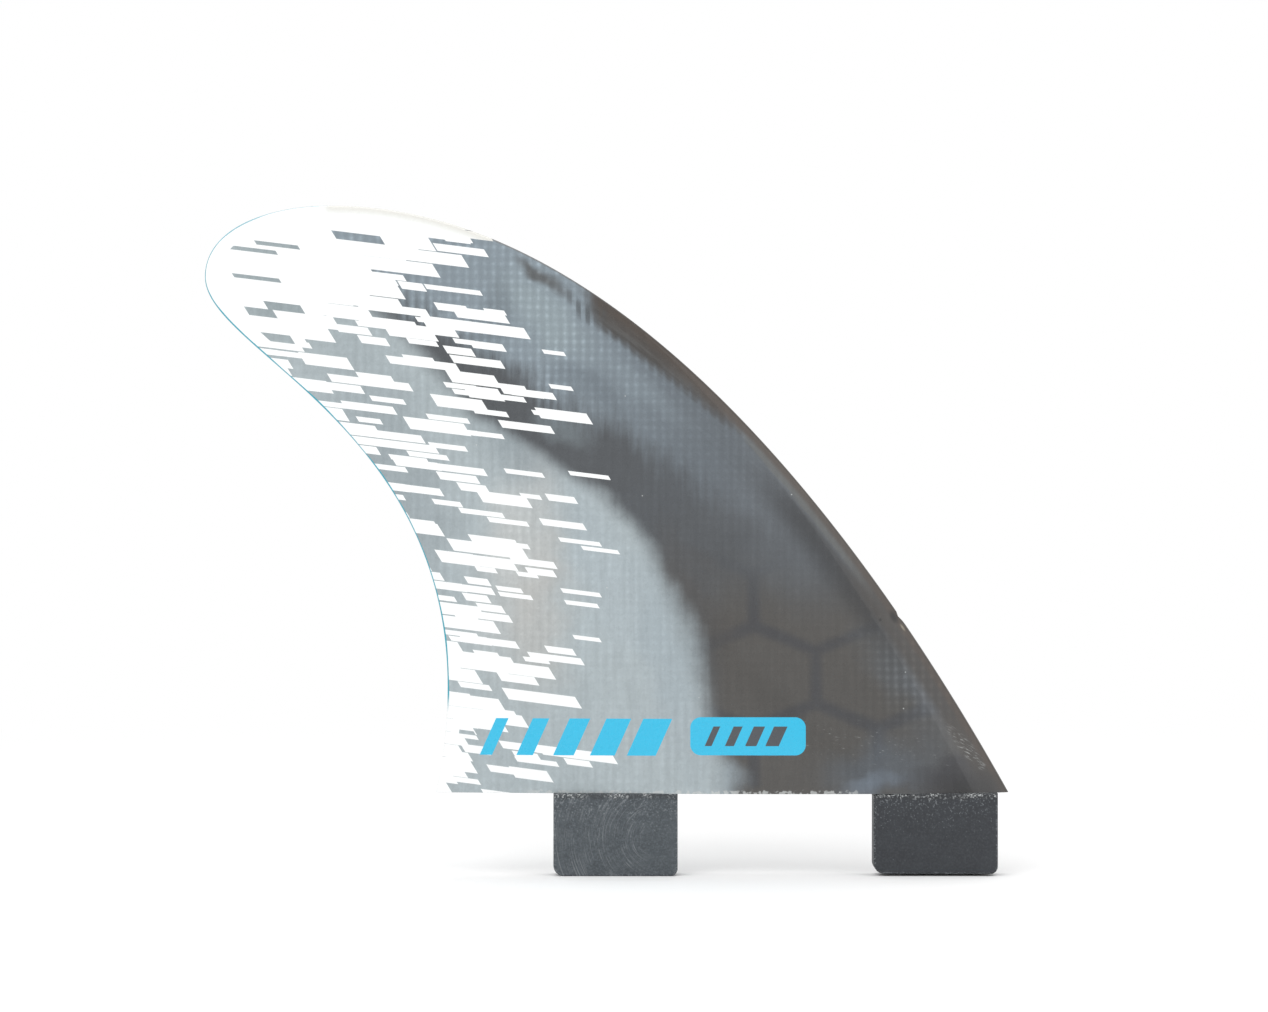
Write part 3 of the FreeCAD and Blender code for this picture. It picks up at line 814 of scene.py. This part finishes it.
def bladeFinish(look, inks):
    # Glass cloth in clear polyester resin, closed-mould cast and polished: a hard wet gloss over
    # a milky body where the weave, the dark core mat and the print lie at some depth.
    material, add = newMaterial("castGlassLaminate")
    at = bladePlaces(add, look)
    layers = washes(add, at["warped"], look["rearWashes"])
    for makeLayers in (coreLayers, patchLayers, leadLayers):
        layers += makeLayers(add, at, look)
    tint = layered(add, toLinear(look["clear"]), layers)
    weave = weaveRelief(add, at, look["weave"])
    tint = add("VectorMath", {"operation": "SCALE"}, {0: tint, "Scale": clothLevel(add, at, look, weave)})[0]
    tint = layered(add, tint, markLayers(add, at, look))
    tint = layered(add, tint, printLayers(add, at, inks, look["partingPlane"]))
    tint = layered(add, tint, soleLayers(add, at, look))
    relief = add("Bump", {}, {"Strength": 0.06, "Distance": 0.0002, "Height": weave})[0]
    gloss = add("MapRange", {}, [at["uneven"], *noiseSpan, *look["gloss"]])[0]
    shader = add("BsdfPrincipled", {}, {
        "Base Color": tint, "Roughness": gloss, "IOR": 1.5, "Specular IOR Level": 0.3,
        "Coat Weight": 0.6, "Coat Roughness": 0.04, "Coat IOR": 1.5, "Normal": relief})
    add("OutputMaterial", {}, {"Surface": shader[0]})
    return material


blade.data.materials.append(bladeFinish(bladeLook, printLook))
print("blade finish done")

# Colours of the tabs; each has its own tone, and the rear one was sanded in arcs.
tabLook = {
    "tones": {"rearTab": ("#3d4348", "#545b60"), "frontTab": ("#25282d", "#34383d")},
    "arcMiddle": (-21.5, -7.8),
    "arcPitch": 0.22,
    "arcs": {"rearTab": 0.5, "frontTab": 0.05},
    "fleck": "#8d9296",
    "fleckHeights": (-9.0, -1.0),  # the flecks thicken between these
    "fleckLimits": (0.70, 0.57),
    "ragged": "#c9cccc",
    "shaded": "#1d1e20",
    "noises": {
        "grit": {"Scale": 3.4, "Detail": 4.0},
        "torn": {"Scale": 0.9, "Detail": 4.0},
        "cloud": {"Scale": 0.3, "Detail": 3.0},
    },
    "scratch": {"Scale": 1.0, "Detail": 3.0},
    "noiseRoughness": 0.6,
    "shares": {
        "arcs": (1.0, ("scratch", 0.5, 0.68), ("cloud", 0.32, 0.56), ("arcX", -0.5, -3.5)),
        "grit": (1.0, ("grit", 0.38, 0.7)),
        "cloud": (0.35, ("cloud", 0.35, 0.7)),
        "flecks": (0.5, ("overLimit", 0.0, 0.06)),
        "worn": (0.55, ("edgeGap", 0.5, 0.15), ("cheek", 1.9, 2.4), ("grit", 0.5, 0.62)),
        "shaded": (0.5, ("z", -1.3, -0.5, ("torn", 1.6))),
        "ragged": (0.7, ("z", -1.0, -0.5, ("torn", 2.4)), ("grit", 0.5, 0.62), ("cloud", 0.4, 0.58)),
    },
}


def tabFinish(look, name):
    # Black-filled polyester, cast and then sanded by hand to fit: matte, scratched in arcs, with
    # pale worn edges, grit marks and a ragged line of flash where it meets the blade.
    material, add = newMaterial("sandedFilledResin." + name)
    body = add("TexCoord", {}, [])["Object"]
    flat = add("Mapping", {}, {"Vector": body, "Scale": [inMillimetres] * 3})[0]
    _, y, z = add("SeparateXYZ", {}, [flat])
    at = {"z": z, "cheek": add("Math", unsigned, [y])[0]}
    at["edgeGap"] = add("Attribute", {"attribute_name": "edgeGap"}, [])["Fac"]
    for kind, grain in look["noises"].items():
        at[kind] = add("TexNoise", {}, {"Vector": flat, "Roughness": look["noiseRoughness"], **grain})["Fac"]

    # arcs: noise over the distance from the arcs' middle, with the angle round it drawn out;
    # they show on the side away from the front
    middle = look["arcMiddle"]
    centred = add("Mapping", {}, {"Vector": flat, "Location": (-middle[0], 0, -middle[1])})[0]
    way = add("VectorMath", distance, [centred])["Value"]
    at["arcX"], _, arcZ = add("SeparateXYZ", {}, [centred])
    angle = add("Math", {"operation": "ARCTAN2"}, [arcZ, at["arcX"]])[0]
    rings = add("Math", times, [way, 1 / look["arcPitch"]])[0]
    polar = add("CombineXYZ", {}, [rings, angle])[0]
    at["scratch"] = add("TexNoise", {}, {
        "Vector": polar, "Roughness": look["noiseRoughness"], **look["scratch"]})["Fac"]

    # flecks lie thick near the blade and thin elsewhere
    limit = add("MapRange", {}, [z, *look["fleckHeights"], *look["fleckLimits"]])[0]
    at["overLimit"] = add("Math", minus, [at["grit"], limit])[0]
    deep, pale = look["tones"][name]
    shown = {kind: shareOf(add, at, look, kind) for kind in look["shares"]}
    arcs = add("Math", times, [shown["arcs"], look["arcs"][name]])[0]
    tint = layered(add, toLinear(deep), [
        (shown["grit"], pale),
        (shown["cloud"], pale),
        (arcs, look["fleck"]),
        (shown["flecks"], look["fleck"]),
        (shown["worn"], look["fleck"]),
        (shown["shaded"], look["shaded"]),
        (shown["ragged"], look["ragged"]),
    ])
    height = add("Math", plus, [at["grit"], arcs])[0]
    relief = add("Bump", {}, {"Strength": 0.3, "Distance": 0.0002, "Height": height})[0]
    shader = add("BsdfPrincipled", {}, {"Base Color": tint, "Roughness": 0.58, "IOR": 1.5, "Normal": relief})
    add("OutputMaterial", {}, {"Surface": shader[0]})
    return material


for tab in tabs:
    tab.data.materials.append(tabFinish(tabLook, tab.name))
print("tab finish done")

# The core mat keeps its own mesh, and is sealed in the blade where no view shows it.
feltLook = {"felt": "#544f4a", "fibre": "#77716a", "fibreScale": 900.0}


def feltFinish(look):
    # Polyester felt soaked in resin, pressed in a mould: dull brown-grey, a little fibrous.
    material, add = newMaterial("resinSoakedFelt")
    body = add("TexCoord", {}, [])["Object"]
    fibre = add("TexNoise", {}, {"Vector": body, "Scale": look["fibreScale"], "Detail": 5.0})["Fac"]
    tint = layered(add, toLinear(look["felt"]), [(fibre, look["fibre"])])
    relief = add("Bump", {}, {"Strength": 0.3, "Distance": 0.0002, "Height": fibre})[0]
    shader = add("BsdfPrincipled", {}, {"Base Color": tint, "Roughness": 0.8, "Normal": relief})
    add("OutputMaterial", {}, {"Surface": shader[0]})
    return material


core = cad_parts["hex_core"]
core.data.materials.clear()
core.data.materials.append(feltFinish(feltLook))

# The camera looks straight at the curved face, as far off as a long lens stands.
view = {
    "width": 1268,
    "height": 1012,
    "pixel": 0.1793,  # millimetres at the fin
    "originX": 775.1,  # where the part's origin is seen
    "originY": 792.7,
    "lens": 100.0,
    "sensor": 36.0,
}
camera = bpy.data.objects.new("camera", bpy.data.cameras.new("camera"))
bpy.context.scene.collection.objects.link(camera)
camera.data.lens = view["lens"]
camera.data.sensor_width = view["sensor"]
camera.data.clip_start = 0.01
camera.location = (
    (view["width"] / 2 - view["originX"]) * view["pixel"] * mm,
    -view["width"] * view["pixel"] * mm * view["lens"] / view["sensor"],
    (view["originY"] - view["height"] / 2) * view["pixel"] * mm,
)
camera.rotation_euler = (math.radians(90), 0, 0)
bpy.context.scene.camera = camera

# A pale floor under the tabs' feet, an even white room and three soft lamps.
studio = {
    "floorHalf": 6.0,  # metres from the fin to the floor's edge
    "floorColour": "#fdfdfd",
    "floorFade": (0.08, 0.45),  # metres from the fin over which the floor turns into the backdrop
    "room": 0.74,
    "lamps": [
        ("key", (-0.5, -0.8, 0.9), 0.8, 4.2),
        ("fill", (0.8, -0.6, 0.4), 0.8, 1.4),
        ("top", (0.05, 0.1, 1.1), 1.0, 3.4),
    ],
}
half, level = studio["floorHalf"], cadBox[0].z
corners = [(-half, -half, level), (half, -half, level), (half, half, level), (-half, half, level)]
floorMesh = bpy.data.meshes.new("floor")
floorMesh.from_pydata(corners, [], [(0, 1, 2, 3)])
floor = bpy.data.objects.new("floor", floorMesh)
bpy.context.scene.collection.objects.link(floor)
paper, add = newMaterial("paper")
away = add("VectorMath", distance, [add("TexCoord", {}, [])["Object"]])["Value"]
away = add("MapRange", smooth, [away, *studio["floorFade"]])[0]
share = add("Math", times, [away, add("LightPath", {}, [])["Is Camera Ray"]])[0]
matte = add("BsdfDiffuse", {}, {"Color": toLinear(studio["floorColour"])})[0]
blank = add("Emission", {}, {"Color": (1, 1, 1, 1), "Strength": 1.0})[0]
add("OutputMaterial", {}, {"Surface": add("MixShader", {}, [share, matte, blank])[0]})
floorMesh.materials.append(paper)

world = bpy.data.worlds.new("studio")
bpy.context.scene.world = world
world.use_nodes = True
world.node_tree.nodes.clear()
add = partial(addNode, world.node_tree)
white = (1, 1, 1, 1)
room = add("Background", {}, {"Color": white, "Strength": studio["room"]})[0]
backdrop = add("Background", {}, {"Color": white, "Strength": 1.0})[0]
rays = add("LightPath", {}, [])
seen = add("Math", atLeast, [rays["Is Camera Ray"], rays["Is Glossy Ray"]])[0]
add("OutputWorld", {}, {"Surface": add("MixShader", {}, [seen, room, backdrop])[0]})
for name, place, size, power in studio["lamps"]:
    lamp = bpy.data.objects.new(name, bpy.data.lights.new(name, "AREA"))
    lamp.data.energy = power
    lamp.data.size = size
    lamp.location = place
    lamp.rotation_euler = (-lamp.location).to_track_quat("-Z", "Y").to_euler()
    bpy.context.scene.collection.objects.link(lamp)
bpy.context.scene.view_settings.view_transform = "Standard"
print("camera, floor and light done")
